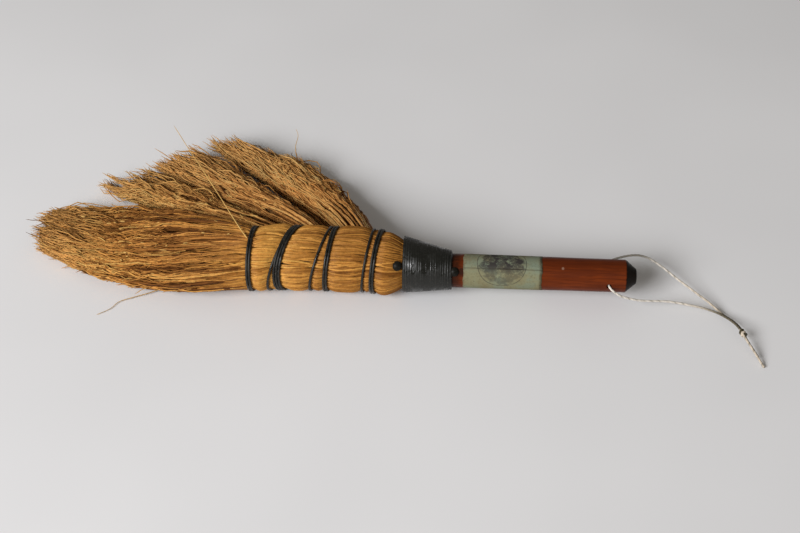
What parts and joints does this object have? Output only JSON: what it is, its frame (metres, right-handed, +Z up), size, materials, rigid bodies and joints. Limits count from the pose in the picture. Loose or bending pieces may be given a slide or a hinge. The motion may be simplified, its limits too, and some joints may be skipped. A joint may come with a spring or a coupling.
{
  "type": "hand whisk broom",
  "caption": "Broomcorn hand whisk with a side fan: round wooden handle with a string loop, wire-bound neck and shoulder, and brush heads that fan out to one side.",
  "frame": {"origin": "on the table, under the middle of the box round the whisk without its string", "axes": "+X along the handle towards its butt and its string, +Y to the side that the brush fans out to, +Z up from the table"},
  "size_m": [0.4833, 0.1996, 0.0416],
  "materials": {
    "handle_wood": "satin",
    "label_paper": "matte",
    "black_wire": "satin",
    "black_tack": "satin",
    "stalks": "satin",
    "brush_fibre": "matte",
    "twine": "matte"
  },
  "bodies": {
    "whisk": {"handle": "handle_wood", "paper_label": "label_paper", "neck_winding": "black_wire", "front_tack": "black_tack", "rear_tack": "black_tack", "wire_band_1": "black_wire", "wire_band_2": "black_wire", "wire_band_3": "black_wire", "wire_band_4": "black_wire", "stalk_core": "stalks", "cover_stalks": "stalks", "main_head": "brush_fibre", "fan_head_1": "brush_fibre", "fan_head_2": "brush_fibre", "fan_head_3": "brush_fibre"},
    "hang_loop": {"string_near": "twine", "string_far": "twine", "string_knot": "twine"}
  },
  "joints": [
    {"name": "loop_swing", "type": "hinge", "parent": "whisk", "child": "hang_loop", "pos_m": [0.18375, -0.05838, 0.0195], "axis": [0, -1, 0], "range_deg": [-110, 150]}
  ]
}
